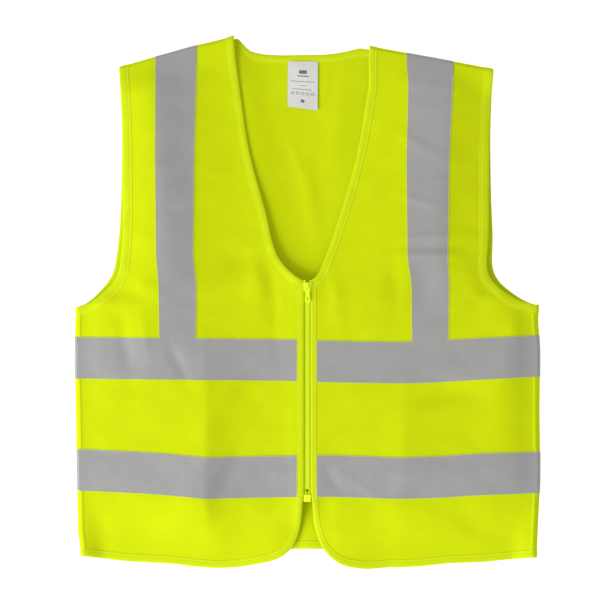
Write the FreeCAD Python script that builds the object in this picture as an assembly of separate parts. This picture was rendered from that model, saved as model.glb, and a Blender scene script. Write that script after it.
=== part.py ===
"""High visibility vest, lying flat on its back with the zip closed.

Units are millimetres. +Z is up, away from the surface that the vest lies on.
+Y points to the collar and +X to the wearer's left. The origin is the centre
of the vest's footprint, on that surface.

Each front is cut along a fold line that runs from the neck point to the hem.
Inside that line the front swings open as a flap. Outside it the front stays
with the back, to which it is sewn at the side and the shoulder.
"""
import FreeCAD
import Part
import math
import os

V = FreeCAD.Vector

# ---- materials, as thicknesses -------------------------------------------
CLOTH = 0.6            # knitted polyester
TRIM = 0.4             # reflective tape and each layer of a binding
ZIP_TAPE = 0.4

# ---- heights of the two layers -------------------------------------------
BACK_Z = TRIM                          # underside of the back cloth
FOLD_RADIUS = 7.0                      # outside of the rolled side and shoulder
FRONT_Z = 2 * FOLD_RADIUS - TRIM - CLOTH   # underside of the front cloth
MID_Z = FOLD_RADIUS

# ---- outline of one half, x > 0 ------------------------------------------
NECK_X, SHOULDER_X = 83.0, 219.5
NECK_Y, SHOULDER_Y = 304.5, 273.5      # where the shoulder starts to roll over
UNDERARM = (267.5, -1.0)               # where the side starts to roll over
SIDE_HEM = (262.0, -294.8)
FRONT_EDGE_X = 6.0
V_BOTTOM_Y = 33.0
SPLIT_Y = -233.5                       # below this the fronts curve apart

# Each edge is its points, then the direction it sets off and arrives in.
V_NECK = ([(NECK_X, NECK_Y), (78.5, 275.0), (72.0, 243.0), (59.0, 178.0), (40.5, 111.0),
           (23.5, 65.5), (FRONT_EDGE_X, V_BOTTOM_Y)], (0, -1), (-1, -1.6))
BACK_NECK = ([(NECK_X, NECK_Y), (67.0, 301.0), (48.0, 297.5), (30.0, 295.6), (0.0, 295.0),
              (-30.0, 295.6), (-48.0, 297.5), (-67.0, 301.0), (-NECK_X, NECK_Y)],
             (-1, -0.15), (-1, 0.15))
FRONT_ARMHOLE = ([(SHOULDER_X, SHOULDER_Y), (216.0, 220.0), (214.6, 150.0), (214.8, 90.0),
                  (218.0, 56.0), (225.5, 32.0), (240.0, 13.5), (255.0, 3.0), UNDERARM],
                 (0, -1), (1, 0))
BACK_ARMHOLE = ([(SHOULDER_X, SHOULDER_Y), (217.0, 220.0), (217.0, 150.0), (219.5, 90.0),
                 (224.0, 58.0), (232.0, 34.0), (245.0, 15.5), (257.5, 4.0), UNDERARM],
                (0, -1), (1, 0))
FRONT_HEM = ([(FRONT_EDGE_X, SPLIT_Y), (8.5, -259.5), (17.0, -281.5), (34.0, -297.5),
              (60.0, -307.5), (100.0, -311.4), (150.0, -308.6), (210.0, -301.0), SIDE_HEM],
             (0, -1), (1, 0))
BACK_HEM = ([(-SIDE_HEM[0], SIDE_HEM[1]), (-200.0, -292.2), (-100.0, -288.0), (0.0, -286.6),
             (100.0, -288.0), (200.0, -292.2), SIDE_HEM], (1, 0), (1, 0))

# ---- trim ----------------------------------------------------------------
NECK_BINDING = 9.0
ARMHOLE_BINDING = 11.0
EDGE_BINDING = 6.0                     # beside the zip
HEM_BINDING = 8.0
BAND = 50.0                            # width of the tape round the body
CHEST_TOP, WAIST_TOP = -39.0, -175.0
SHOULDER_TAPE_X = (127.5, 171.5)

# ---- fold line of a front flap -------------------------------------------
FOLD_TOP, FOLD_BOTTOM = (83.0, 311.5), (138.0, -311.5)
FOLD_GAP = 0.3

# ---- zip -----------------------------------------------------------------
PITCH, TOOTH = 2.6, 1.2                # along the chain
TOOTH_HEIGHT = 2.4
CHAIN_Z = FRONT_Z - TRIM - ZIP_TAPE / 2
CHAIN_TOP, CHAIN_BOTTOM = 19.0, -221.0
TAPE_X = (1.5, 15.0)
TAPE_Y = (-236.0, 30.0)
SLIDER_Y = (14.5, 24.0)
SLIDER_HALF_REAR, SLIDER_HALF_FRONT = 4.3, 5.4
SLIDER_INSIDE = 1.5                    # from the chain's middle to each plate
PLATE = 0.9
PIVOT_Y = 19.3
BOX_Y = (-234.5, -226.0)
BOX_HALF, BOX_HALF_HEIGHT = 4.2, 1.9

# ---- label ---------------------------------------------------------------
LABEL_X, LABEL_Y = (-23.0, 12.5), (231.0, 285.5)
LABEL_THICKNESS = 0.3

FAR = 400.0


# ---- helpers -------------------------------------------------------------
def prism(face, low, high):
    """A flat face at z = 0 made into a plate from low to high."""
    moved = face.copy()
    moved.translate(V(0, 0, low))
    return moved.extrude(V(0, 0, high - low))


def curve(edge):
    points, first, last = edge
    return through([V(x, y, 0) for x, y in points], V(*first, 0), V(*last, 0))


def through(points, first, last):
    """A smooth curve through points, setting off and arriving in given directions."""
    spline = Part.BSplineCurve()
    spline.interpolate(Points=points, InitialTangent=first.normalize(),
                       FinalTangent=last.normalize(), Scale=False)
    return spline


def straight(points):
    return [Part.makeLine(V(*a, 0), V(*b, 0)) for a, b in zip(points, points[1:])]


def face_of(edges):
    return Part.Face(Part.Wire(Part.__sortEdges__(edges)))


def polygon(points):
    return face_of(straight(points + points[:1]))


def rectangle(x, y):
    return polygon([(x[0], y[0]), (x[1], y[0]), (x[1], y[1]), (x[0], y[1])])


def rail(edge, distance, reach):
    """The line at a distance to the left of an edge, run on straight at both ends.

    A pair of distances makes it drift from the first to the second."""
    spline = curve(edge)
    first, last = spline.FirstParameter, spline.LastParameter
    near, far = distance if isinstance(distance, tuple) else (distance, distance)
    count = 3 * len(edge[0])
    places = []
    for i in range(count + 1):
        at = first + (last - first) * i / count
        along = spline.tangent(at)[0]
        offset = near + (far - near) * min(1.0, 3.0 * i / count)
        places.append(spline.value(at) + V(-along.y, along.x, 0) * offset)
    set_off, arrive = spline.tangent(first)[0], spline.tangent(last)[0]
    line = through(places, V(set_off), V(arrive))
    ends = [places[0] - set_off * reach, places[-1] + arrive * reach]
    run = [line.toShape(), Part.makeLine(ends[0], places[0]), Part.makeLine(places[-1], ends[1])]
    return run, ends


def strip(edge, near, far, reach=2.0):
    """The band between two distances to the left of an edge."""
    (a, a_ends), (b, b_ends) = rail(edge, near, reach), rail(edge, far, reach)
    return face_of(a + b + [Part.makeLine(a_ends[i], b_ends[i]) for i in (0, 1)])


def half_ring(radius_out, radius_in):
    """Half of a ring in the XZ plane, bulging to +X, centred on x = 0 and MID_Z."""
    def arc(r):
        return Part.Arc(V(0, 0, MID_Z - r), V(r, 0, MID_Z), V(0, 0, MID_Z + r)).toShape()
    ends = [Part.makeLine(V(0, 0, MID_Z + s * radius_in), V(0, 0, MID_Z + s * radius_out))
            for s in (-1, 1)]
    return face_of([arc(radius_out), arc(radius_in)] + ends)


def side_roll(radius_out, radius_in, top, bottom):
    """The rolled side edge between two heights on the page, along the slanting side."""
    slant = (SIDE_HEM[0] - UNDERARM[0]) / (SIDE_HEM[1] - UNDERARM[1])
    face = half_ring(radius_out, radius_in)
    face.translate(V(UNDERARM[0] + slant * (top - UNDERARM[1]), top, 0))
    return face.extrude(V(slant * (bottom - top), bottom - top, 0))


def shoulder_roll(radius_out, radius_in, start, end):
    """The rolled shoulder between two x, along the sloping shoulder line."""
    slope = (SHOULDER_Y - NECK_Y) / (SHOULDER_X - NECK_X)
    face = half_ring(radius_out, radius_in)
    face.rotate(V(0, 0, 0), V(0, 0, 1), 90)
    face.translate(V(start, NECK_Y + slope * (start - NECK_X), 0))
    return face.extrude(V(end - start, slope * (end - start), 0))


def joined(first, *others):
    return first.multiFuse(list(others)).removeSplitter()


def mirrored(shape):
    return shape.mirror(V(0, 0, 0), V(1, 0, 0))


# ---- outlines ------------------------------------------------------------
def front_outline():
    """The left front seen flat."""
    edges = [curve(edge).toShape() for edge in (V_NECK, FRONT_HEM, FRONT_ARMHOLE)]
    edges += straight([V_NECK[0][-1], FRONT_HEM[0][0]])
    edges += straight([SIDE_HEM, UNDERARM])
    edges += straight([V_NECK[0][0], FRONT_ARMHOLE[0][0]])
    return face_of(edges)


def back_outline():
    half = [curve(BACK_ARMHOLE).toShape()]
    half += straight([SIDE_HEM, UNDERARM])
    half += straight([BACK_NECK[0][0], BACK_ARMHOLE[0][0]])
    whole = [curve(BACK_NECK).toShape(), curve(BACK_HEM).toShape()]
    return face_of(half + [mirrored(edge) for edge in half] + whole)


def bound_strip(outline, edge, width, side, reach=2.0, closed_by=None):
    """A binding folded round an edge: full thickness, less the cloth it holds.

    A second edge that crosses it is closed with a rim as well."""
    low, high = 0.0, 2 * TRIM + CLOTH
    far = tuple(side * w for w in width) if isinstance(width, tuple) else side * width
    past = tuple(side * (w + 2) for w in width) if isinstance(width, tuple) else side * (width + 2)
    slot = strip(edge, TRIM * side, past, reach + 2)
    if closed_by:
        slot = slot.cut(strip(closed_by, -40.0, TRIM, 20.0))
    body = prism(outline.common(strip(edge, -2.0 * side, far, reach)), low, high)
    return body.cut(prism(slot, low + TRIM, high - TRIM))


def trimmed(outline, edges):
    """An outline cut back by a binding's thickness along some of its edges."""
    for edge, side in edges:
        outline = outline.cut(strip(edge, -2.0 * side, TRIM * side))
    return outline


def lifted(shape, z):
    moved = shape.copy()
    moved.translate(V(0, 0, z))
    return moved


# ---- fold line -----------------------------------------------------------
def fold_sides():
    """Two big blocks, inside and outside the left front's fold line."""
    lean = (FOLD_BOTTOM[0] - FOLD_TOP[0]) / (FOLD_BOTTOM[1] - FOLD_TOP[1])
    top_x = FOLD_TOP[0] + lean * (FAR - FOLD_TOP[1])
    bottom_x = FOLD_TOP[0] + lean * (-FAR - FOLD_TOP[1])
    gap = FOLD_GAP / 2
    inner = polygon([(0, FAR), (0, -FAR), (bottom_x - gap, -FAR), (top_x - gap, FAR)])
    outer = polygon([(FAR, FAR), (FAR, -FAR), (bottom_x + gap, -FAR), (top_x + gap, FAR)])
    return prism(inner, 0, 40), prism(outer, 0, 40)


# ---- one front, x > 0 ----------------------------------------------------
def front_cloth():
    outline = trimmed(front_outline(), ((V_NECK, 1), (FRONT_HEM, 1), (FRONT_ARMHOLE, -1)))
    return outline.cut(rectangle((FRONT_EDGE_X - 2, FRONT_EDGE_X + TRIM), (-FAR, FAR)))


def edge_binding():
    """Down the zip edge, round the corner and out along the hem, as one strip."""
    run_on = V_BOTTOM_Y - SPLIT_Y + 30
    return bound_strip(front_outline(), FRONT_HEM, (EDGE_BINDING, HEM_BINDING), 1, run_on, V_NECK)


def neck_binding():
    """The V neck's binding, butted against the zip edge's."""
    whole = bound_strip(front_outline(), V_NECK, NECK_BINDING, 1, 14.0)
    return whole.cut(prism(rectangle((-40, FRONT_EDGE_X + EDGE_BINDING), (-40, 90)), -1, 4))


def band(top):
    """A reflective band across the front, from the zip's binding to the side."""
    across = rectangle((FRONT_EDGE_X + EDGE_BINDING, FAR), (top - BAND, top))
    return prism(front_outline().common(across), FRONT_Z + CLOTH, FRONT_Z + CLOTH + TRIM)


def shoulder_tape():
    """One tape from the front chest band, over the shoulder, to the back one."""
    slope = (SHOULDER_Y - NECK_Y) / (SHOULDER_X - NECK_X)
    a, b = SHOULDER_TAPE_X
    run = polygon([(a, CHEST_TOP), (b, CHEST_TOP), (b, NECK_Y + slope * (b - NECK_X)),
                   (a, NECK_Y + slope * (a - NECK_X))])
    front_run = prism(run, FRONT_Z + CLOTH, FRONT_Z + CLOTH + TRIM)
    over = shoulder_roll(FOLD_RADIUS, FOLD_RADIUS - TRIM, a, b)
    return joined(front_run, over, prism(run, 0, TRIM))


def armhole_binding():
    """A closed loop: front, over the shoulder, back and under the arm."""
    front = bound_strip(front_outline(), FRONT_ARMHOLE, ARMHOLE_BINDING, -1)
    back = bound_strip(back_outline(), BACK_ARMHOLE, ARMHOLE_BINDING, -1)
    return joined(lifted(front, FRONT_Z - TRIM), lifted(back, BACK_Z - TRIM),
                  rolled_binding(shoulder_roll, SHOULDER_X - ARMHOLE_BINDING, SHOULDER_X),
                  rolled_binding(side_roll, UNDERARM[1], UNDERARM[1] - ARMHOLE_BINDING))


def rolled_binding(roll, start, end):
    """Binding round the end of a roll: an inner layer, an outer layer and a rim."""
    if roll is shoulder_roll:
        cloth_ends = (NECK_X + TRIM, SHOULDER_X - TRIM)
    else:
        cloth_ends = (UNDERARM[1] - TRIM, SIDE_HEM[1] + TRIM)
    cloth = roll(FOLD_RADIUS - TRIM, FOLD_RADIUS - TRIM - CLOTH, *cloth_ends)
    return roll(FOLD_RADIUS, FOLD_RADIUS - 2 * TRIM - CLOTH, start, end).cut(cloth)


def front_pieces():
    inner, outer = fold_sides()
    cloth = prism(front_cloth(), FRONT_Z, FRONT_Z + CLOTH)
    roll = shoulder_roll(FOLD_RADIUS - TRIM, FOLD_RADIUS - TRIM - CLOTH,
                         NECK_X + TRIM, SHOULDER_X - TRIM)
    edge = lifted(edge_binding(), FRONT_Z - TRIM)
    chest, waist = band(CHEST_TOP), band(WAIST_TOP)
    return {
        "front_flap": cloth.common(inner),
        "front_side": joined(cloth.common(outer), roll),
        "neck_binding": lifted(neck_binding(), FRONT_Z - TRIM).common(inner),
        "front_edge_binding": edge.common(inner),
        "side_hem_binding": edge.common(outer),
        "chest_band_flap": chest.common(inner),
        "chest_band_side": chest.common(outer),
        "waist_band_flap": waist.common(inner),
        "waist_band_side": waist.common(outer),
        "shoulder_tape": shoulder_tape(),
        "armhole_binding": armhole_binding(),
    }


# ---- back ----------------------------------------------------------------
def back_panel():
    """The back, rolled round both sides, then cut back by a binding's thickness."""
    half = back_outline().common(rectangle((0, FAR), (-FAR, FAR)))
    roll = side_roll(FOLD_RADIUS - TRIM, FOLD_RADIUS - TRIM - CLOTH, UNDERARM[1], SIDE_HEM[1])
    panel = joined(prism(half, BACK_Z, BACK_Z + CLOTH), roll)
    for edge, side in ((BACK_NECK, 1), (BACK_HEM, 1), (BACK_ARMHOLE, -1)):
        margin = strip(edge, -2.0 * side, TRIM * side, 3 * FOLD_RADIUS)
        panel = panel.cut(prism(margin, -1, 3 * FOLD_RADIUS))
    return joined(panel, mirrored(panel))


def back_band(top):
    """A reflective band across the back and round both side folds."""
    across = rectangle((-FAR, FAR), (top - BAND, top))
    wrap = side_roll(FOLD_RADIUS, FOLD_RADIUS - TRIM, top, top - BAND)
    return joined(prism(back_outline().common(across), 0.0, TRIM), wrap, mirrored(wrap))


def back_neck_binding():
    """Across the back neck, round both neck points and down to the fold lines."""
    back = bound_strip(back_outline(), BACK_NECK, NECK_BINDING, 1, 12.0)
    corner = lifted(neck_binding(), FRONT_Z - TRIM).common(fold_sides()[1])
    corner = joined(corner, rolled_binding(shoulder_roll, NECK_X, NECK_X + NECK_BINDING))
    return joined(lifted(back, BACK_Z - TRIM), corner, mirrored(corner))


def back_hem_binding():
    back = bound_strip(back_outline(), BACK_HEM, HEM_BINDING, 1)
    roll = rolled_binding(side_roll, SIDE_HEM[1] + HEM_BINDING, SIDE_HEM[1])
    return joined(lifted(back, BACK_Z - TRIM), roll, mirrored(roll))


def back_pieces():
    return {
        "back_panel": back_panel(),
        "back_neck_binding": back_neck_binding(),
        "back_hem_binding": back_hem_binding(),
        "back_chest_band": back_band(CHEST_TOP),
        "back_waist_band": back_band(WAIST_TOP),
    }


# ---- zip -----------------------------------------------------------------
def zipper_tape():
    return prism(rectangle(TAPE_X, TAPE_Y), CHAIN_Z - ZIP_TAPE / 2, CHAIN_Z + ZIP_TAPE / 2)


def tooth():
    """One tooth of the left row: a shank on the tape and a wider head past the middle."""
    half = TOOTH / 2
    outline = [(2.9, -half), (2.9, half), (1.3, half), (0.9, half * 0.75), (0.2, half * 0.75),
               (-0.2, half), (-0.9, half), (-1.2, half * 0.5),
               (-1.2, -half * 0.5), (-0.9, -half), (-0.2, -half), (0.2, -half * 0.75),
               (0.9, -half * 0.75), (1.3, -half)]
    body = prism(polygon(outline), CHAIN_Z - TOOTH_HEIGHT / 2, CHAIN_Z + TOOTH_HEIGHT / 2)
    return body.cut(zipper_tape())


def teeth(start):
    """A row of teeth from the top of the chain down."""
    count = int((CHAIN_TOP - CHAIN_BOTTOM) / PITCH)
    row = []
    for i in range(count):
        one = tooth()
        one.translate(V(0, start - i * PITCH, 0))
        row.append(one)
    return Part.makeCompound(row)


def slider_outline(inset):
    rear, front = SLIDER_HALF_REAR - inset, SLIDER_HALF_FRONT - inset
    low, high = SLIDER_Y
    middle = low + 0.45 * (high - low)
    return polygon([(-rear, low), (rear, low), (rear, middle), (front, high - 1.5),
                    (front - 1.2, high), (-front + 1.2, high), (-front, high - 1.5),
                    (-rear, middle)])


def slider():
    """Two plates joined by a wedge, with a lip down each side and an arch for the pull."""
    wall, tape_slot = 0.7, 0.5
    outer = slider_outline(0.0)
    top, bottom = [prism(outer, *sorted((CHAIN_Z + s * SLIDER_INSIDE,
                                         CHAIN_Z + s * (SLIDER_INSIDE + PLATE)))) for s in (1, -1)]
    lips = prism(outer, CHAIN_Z - SLIDER_INSIDE, CHAIN_Z + SLIDER_INSIDE)
    lips = lips.cut(prism(slider_outline(wall), 0, 40))
    lips = lips.cut(prism(rectangle((-FAR, FAR), (0, FAR)), CHAIN_Z - tape_slot, CHAIN_Z + tape_slot))
    for y in ((SLIDER_Y[0] - 1, SLIDER_Y[0] + wall), (SLIDER_Y[1] - wall, SLIDER_Y[1] + 1)):
        lips = lips.cut(prism(rectangle((-4.15, 4.15), y), 0, 40))
    wedge = polygon([(0.0, 19.7), (0.7, 21.8), (0.7, 23.9), (-0.7, 23.9), (-0.7, 21.8)])
    wedge = prism(wedge, CHAIN_Z - SLIDER_INSIDE, CHAIN_Z + SLIDER_INSIDE)
    plate_top = CHAIN_Z + SLIDER_INSIDE + PLATE
    arch = Part.makeBox(1.8, 4.6, 2.6, V(-0.9, PIVOT_Y - 2.4, plate_top))
    arch = arch.cut(Part.makeBox(4, 3.2, 1.8, V(-2, PIVOT_Y - 1.7, plate_top)))
    return joined(top, bottom, lips, wedge, arch)


def pull_tab():
    """A flat tab whose cross bar turns under the slider's arch."""
    low = CHAIN_Z + SLIDER_INSIDE + PLATE + 0.15
    high = low + 1.3
    bar = Part.makeCylinder(0.65, 5.6, V(-2.8, PIVOT_Y, (low + high) / 2), V(1, 0, 0))
    outline = polygon([(-2.8, PIVOT_Y), (2.8, PIVOT_Y), (2.8, 14.0), (2.3, 11.5), (2.5, 9.0),
                       (3.1, 5.0), (3.1, 1.6), (2.0, 0.4), (-2.0, 0.4), (-3.1, 1.6),
                       (-3.1, 5.0), (-2.5, 9.0), (-2.3, 11.5), (-2.8, 14.0)])
    tab = prism(outline, low, high)
    tab = tab.cut(Part.makeBox(3.0, 3.8, 4, V(-1.5, PIVOT_Y - 3.8, low - 1)))
    window = prism(rectangle((-1.1, 1.1), (2.6, 7.4)), low - 1, high + 1)
    return joined(tab.cut(window), bar)


def retainer_box():
    """The box at the foot of the chain, with a blind hole for each pin and slots for the tapes."""
    low, high = CHAIN_Z - BOX_HALF_HEIGHT, CHAIN_Z + BOX_HALF_HEIGHT
    box = prism(rectangle((-BOX_HALF, BOX_HALF), BOX_Y), low, high)
    box = box.makeFillet(0.7, [e for e in box.Edges if abs(e.tangentAt(0).y) > 0.9])
    for x in (-1.5, 1.5):
        box = box.cut(Part.makeCylinder(1.0, 7.0, V(x, BOX_Y[0] + 1.5, CHAIN_Z), V(0, 1, 0)))
    slot = ZIP_TAPE / 2 + 0.1
    for x in ((-FAR, -TAPE_X[0]), (TAPE_X[0], FAR)):
        box = box.cut(prism(rectangle(x, (-FAR, FAR)), CHAIN_Z - slot, CHAIN_Z + slot))
    return box


def zip_pin(x):
    """A pin moulded on the end of a zip tape, reaching into the box."""
    pin = Part.makeCylinder(0.85, 9.5, V(x, BOX_Y[0] + 2.0, CHAIN_Z), V(0, 1, 0))
    tape = zipper_tape() if x > 0 else mirrored(zipper_tape())
    return pin.cut(tape)


def top_stop():
    stop = Part.makeBox(1.9, 2.4, 2.6, V(2.6, SLIDER_Y[1] + 0.4, CHAIN_Z - 1.3))
    return stop.cut(zipper_tape())


def care_label():
    low = BACK_Z + CLOTH
    return prism(rectangle(LABEL_X, LABEL_Y), low, low + LABEL_THICKNESS)


# ---- write ---------------------------------------------------------------
def all_pieces():
    pieces = back_pieces()
    for name, shape in front_pieces().items():
        pieces["left_" + name] = shape
        pieces["right_" + name] = mirrored(shape)
    pieces["left_zipper_tape"] = zipper_tape()
    pieces["right_zipper_tape"] = mirrored(zipper_tape())
    pieces["left_zipper_teeth"] = teeth(CHAIN_TOP - PITCH / 2)
    pieces["right_zipper_teeth"] = mirrored(teeth(CHAIN_TOP))
    pieces["left_top_stop"] = top_stop()
    pieces["right_top_stop"] = mirrored(top_stop())
    pieces["slider"] = slider()
    pieces["pull_tab"] = pull_tab()
    pieces["retainer_box"] = retainer_box()
    pieces["box_pin"] = zip_pin(-1.5)
    pieces["insertion_pin"] = zip_pin(1.5)
    pieces["care_label"] = care_label()
    return pieces


def main():
    os.makedirs("parts", exist_ok=True)
    pieces = all_pieces()
    box = FreeCAD.BoundBox()
    for name, shape in sorted(pieces.items()):
        if not shape.isValid() or not shape.Solids:
            raise ValueError(name + " is not a valid solid")
        shape.exportStep("parts/" + name + ".step")
        box.add(shape.BoundBox)
        print(name, len(shape.Solids), "solids,", round(shape.Volume, 1), "mm3")
    print("box", [round(v, 2) for v in (box.XMin, box.XMax, box.YMin, box.YMax, box.ZMin, box.ZMax)])
    lean = math.degrees(math.atan2(FOLD_BOTTOM[0] - FOLD_TOP[0], FOLD_TOP[1] - FOLD_BOTTOM[1]))
    print("fold line leans", round(lean, 3), "degrees; front cloth at", round(FRONT_Z, 2))


main()
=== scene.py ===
import math
import bmesh
import bpy
import numpy as np
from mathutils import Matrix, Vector
from mathutils.geometry import delaunay_2d_cdt


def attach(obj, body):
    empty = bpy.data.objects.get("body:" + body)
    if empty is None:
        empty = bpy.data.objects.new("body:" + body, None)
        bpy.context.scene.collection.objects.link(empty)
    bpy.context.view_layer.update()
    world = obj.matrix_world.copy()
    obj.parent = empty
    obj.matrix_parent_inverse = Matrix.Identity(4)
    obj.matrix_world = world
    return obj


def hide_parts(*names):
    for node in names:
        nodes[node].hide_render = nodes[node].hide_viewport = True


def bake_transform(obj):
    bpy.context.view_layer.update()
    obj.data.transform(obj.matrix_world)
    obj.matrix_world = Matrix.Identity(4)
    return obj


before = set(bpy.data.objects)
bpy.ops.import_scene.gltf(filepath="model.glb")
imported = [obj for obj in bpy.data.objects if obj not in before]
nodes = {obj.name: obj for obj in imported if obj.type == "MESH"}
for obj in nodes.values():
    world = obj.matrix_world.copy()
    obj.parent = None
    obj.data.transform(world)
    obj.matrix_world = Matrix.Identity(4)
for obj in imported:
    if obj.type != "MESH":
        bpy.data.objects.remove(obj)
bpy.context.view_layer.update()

mm = 0.001
print("vest: frame loaded")

# the cut of one half, in mm. x runs out from the zip, y up to the collar
neckPoint, shoulderTip, underarm, sideHem = (83, 304.5), (219.5, 273.5), (267.5, -1), (262, -294.8)
cut = {
    "neck": [neckPoint, (80, 275), (75, 243), (64, 178), (45.5, 111), (30.5, 65.5),
             (22.5, 47), (15, 35), (9.5, 29.5), (4.3, 26.5)],
    "backNeck": [neckPoint, (67, 301), (48, 297.5), (30, 295.6), (0, 295)],
    "frontArm": [shoulderTip, (216, 220), (214.6, 150), (214.8, 90), (218, 56), (225.5, 32),
                 (240, 13.5), (255, 3), underarm],
    "backArm": [shoulderTip, (217, 220), (217, 150), (219.5, 90), (224, 58), (232, 34),
                (245, 15.5), (257.5, 4), underarm],
    "frontHem": [(6, -235), (8.5, -259.5), (17, -281.5), (34, -297.5), (60, -307.5),
                 (100, -311.4), (150, -308.6), (210, -301), sideHem],
    "backHem": [(0, -286.6), (100, -288), (200, -292.2), sideHem],
    "zipEdge": [(4.1, 25.5), (4.1, -214), (4.6, -226), (6, -235)],
}
lay = {
    "floorGap": 1.15,         # middle of the back cloth above the floor
    "zipHeight": 13.3,        # middle of the front cloth beside the zip
    "sideRadius": 4.3,
    "shoulderRadius": 4.3,
    "hemHeight": 4.0,
    "clothThickness": 0.55,
}


def smoothstep(value, low, high):
    t = np.clip((value - low) / (high - low), 0, 1)
    return t * t * (3 - 2 * t)


def bell(value, middle, width):
    return np.exp(-((value - middle) / width) ** 2)


def smoothPath(points, spacing=2.5):
    # a natural cubic through the points, read off at an even spacing
    p = np.array(points, float)
    t = np.concatenate([[0], np.cumsum(np.linalg.norm(np.diff(p, axis=0), axis=1))])
    h = np.diff(t)
    n = len(p)
    a = np.eye(n)
    b = np.zeros((n, 2))
    for i in range(1, n - 1):
        a[i, i - 1:i + 2] = h[i - 1], 2 * (h[i - 1] + h[i]), h[i]
        b[i] = 6 * ((p[i + 1] - p[i]) / h[i] - (p[i] - p[i - 1]) / h[i - 1])
    m = np.linalg.solve(a, b)
    at = np.linspace(0, t[-1], max(3, int(round(t[-1] / spacing)) + 1))
    k = np.clip(np.searchsorted(t, at, side="right") - 1, 0, n - 2)
    s = (at - t[k])[:, None]
    hk = h[k][:, None]
    return (p[k] + s * ((p[k + 1] - p[k]) / hk - hk * (2 * m[k] + m[k + 1]) / 6)
            + s ** 2 * m[k] / 2 + s ** 3 * (m[k + 1] - m[k]) / (6 * hk))


def straightPath(a, b, spacing=2.5):
    count = max(2, int(round(math.dist(a, b) / spacing)) + 1)
    return np.linspace(a, b, count)


def sideX(y):
    slope = (underarm[0] - sideHem[0]) / (underarm[1] - sideHem[1])
    return underarm[0] + (y - underarm[1]) * slope


def shoulderY(x):
    slope = (neckPoint[1] - shoulderTip[1]) / (shoulderTip[0] - neckPoint[0])
    return neckPoint[1] - (x - neckPoint[0]) * slope


# how the cloth lies: one surface for the back, one for the fronts
def easedTable(value, places, amounts, ease=5.0):
    # straight steps through a short table, with the corners rounded off
    return sum(np.interp(value + k * ease, places, amounts) for k in (-1, -0.5, 0, 0.5, 1)) / 5


pulls = {
    # how far the collar is pushed up or down, by place across
    "collarAt": [-219, -150, -95, -83, -78, -71.5, -63.5, -48, -20, 0, 31, 71, 77, 83, 100,
                 150, 219],
    "collar": [1.4, 4.2, 6.2, 7.2, 10.4, 4.0, -2.2, -3.0, -1.8, -1.4, -1.2, -0.2, -2.2, -4.8,
               -4.6, -3.2, -1.4],
    # and the hem
    "hemAt": [-262, -216, -160, -103, -61, -32, -18, -6, 10, 24, 38, 66, 95, 166, 208, 262],
    "hem": [-4.5, -5.3, -1.0, -2.5, -1.0, -4.2, -5.5, -3.7, -3.7, -7.5, -8.6, -6, -1.6, -1.4,
            -5.4, -6],
    "backHem": [-4.5, -5.3, -1.0, -2.5, -2.5, -4.5, -4.6, -4.5, -4.5, -4.6, -5.0, -5.0, -1.6,
                -1.4, -5.4, -6],
}


def settle(x, y, hem="hem"):
    # small pulls and sags of the whole vest as it was laid out
    dx = -4.5 * smoothstep(y, 15, 60) * (1 - smoothstep(np.abs(x), 120, 205))
    dx = dx + np.sign(x) * 4.5 * smoothstep(np.abs(x), 190, 265) * (1 - smoothstep(y, -10, 60))
    dx = dx - 3.0 * smoothstep(-x, 150, 210) * smoothstep(y, 20, 60)
    dx = dx + 3.0 * bell(y, 15, 45) * smoothstep(-x, 190, 225)
    dx = dx - 11.5 * bell(y, 26, 36) * smoothstep(x, 180, 218) * (1 - smoothstep(x, 236, 275))
    dx = dx - 3.0 * bell(y, -15, 30) * smoothstep(x, 225, 262)
    dx = dx - 5.0 * smoothstep(y, 250, 298) * bell(x, 80, 42)
    dx = dx + 3.0 * smoothstep(-y, 262, 295) * smoothstep(-x, 225, 262)
    dx = dx + 2.5 * bell(y, -205, 60) * smoothstep(x, 225, 262)
    dx = dx - 4.5 * bell(y, 62, 34) * smoothstep(-x, 8, 22) * (1 - smoothstep(-x, 50, 105))
    shoulder = smoothstep(np.abs(x), 95, 130) * (1 - smoothstep(np.abs(x), 174, 208))
    fade = np.where(x > 0, 3.8, 1.4) * smoothstep(y, 150, 290)
    dx = dx - (4.2 - fade) * shoulder * smoothstep(y, -110, -50)
    corner = smoothstep(np.abs(x), 232, 266) * bell(y, -1, 16)
    dy = corner * np.where(x < 0, -3.0, -1.2)
    dy = dy + easedTable(x, pulls["collarAt"], pulls["collar"], 2.0) * smoothstep(y, 120, 300)
    hemPull = easedTable(x, pulls["hemAt"], pulls[hem], 6.0) * smoothstep(-y, 226, 288)
    return x + dx, y + dy + hemPull


def ridge(x, y, cx, cy, along, across, angle, height):
    a = math.radians(angle)
    u = (x - cx) * math.cos(a) + (y - cy) * math.sin(a)
    v = -(x - cx) * math.sin(a) + (y - cy) * math.cos(a)
    return height * np.exp(-(u / along) ** 2 - (v / across) ** 2)


def crease(x, y, cx, cy, along, across, angle, height, soft=2.0):
    # a fold with a sharp top
    a = math.radians(angle)
    u = (x - cx) * math.cos(a) + (y - cy) * math.sin(a)
    v = -(x - cx) * math.sin(a) + (y - cy) * math.cos(a)
    return height * np.exp(-(u / along) ** 2 - (np.sqrt(v * v + soft * soft) - soft) / across)


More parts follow.
